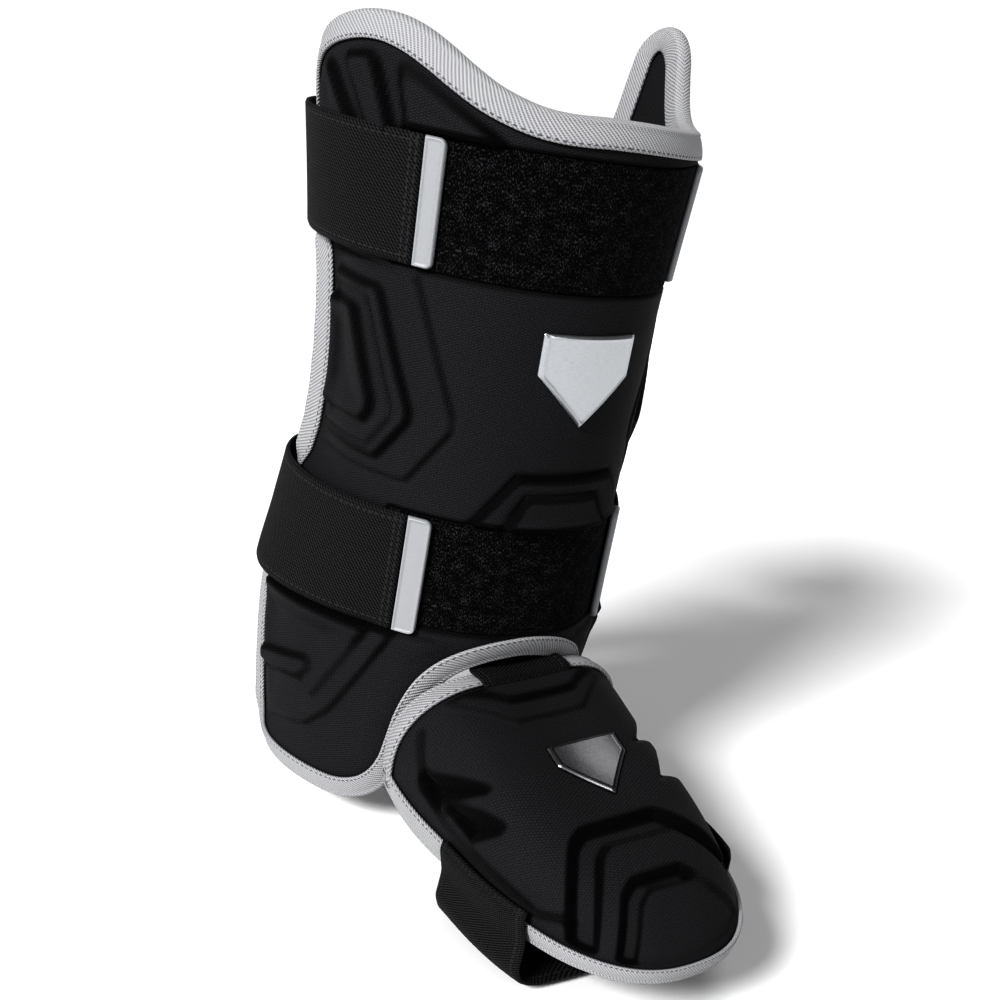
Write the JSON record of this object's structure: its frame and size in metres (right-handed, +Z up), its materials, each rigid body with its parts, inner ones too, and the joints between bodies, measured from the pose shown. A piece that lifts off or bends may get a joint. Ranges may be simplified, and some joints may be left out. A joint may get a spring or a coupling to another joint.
{
  "type": "batter's leg guard",
  "caption": "Padded foam shin guard with bound edges, hook-and-loop straps round the calf and a domed foot guard hung from its notch by elastic.",
  "frame": {"origin": "the seat on the inner face of the shin panel, at its front and half way up", "axes": "+Z up the shin, -Y to the front of the leg and the toe, +X to the right of the picture, +Y into the leg"},
  "size_m": [0.1771, 0.2843, 0.3531],
  "materials": {
    "foam": "matte knit laminated on moulded foam",
    "loop": "brushed loop pile",
    "elastic": "woven elastic",
    "tape": "light grey knitted binding tape",
    "tab_rubber": "satin moulded rubber",
    "silver": "satin silver"
  },
  "bodies": {
    "root": {"shin_shell": "foam", "shin_binding": "tape", "upper_loop_band": "loop", "lower_loop_band": "loop", "upper_strap": "elastic", "upper_left_tab": "tab_rubber", "upper_right_tab": "tab_rubber", "lower_strap": "elastic", "lower_left_tab": "tab_rubber", "lower_right_tab": "tab_rubber", "shin_badge": "silver", "foot_shell": "foam", "foot_binding": "tape", "foot_badge": "silver", "foot_connector": "elastic", "foot_strap": "elastic"}
  },
  "joints": []
}
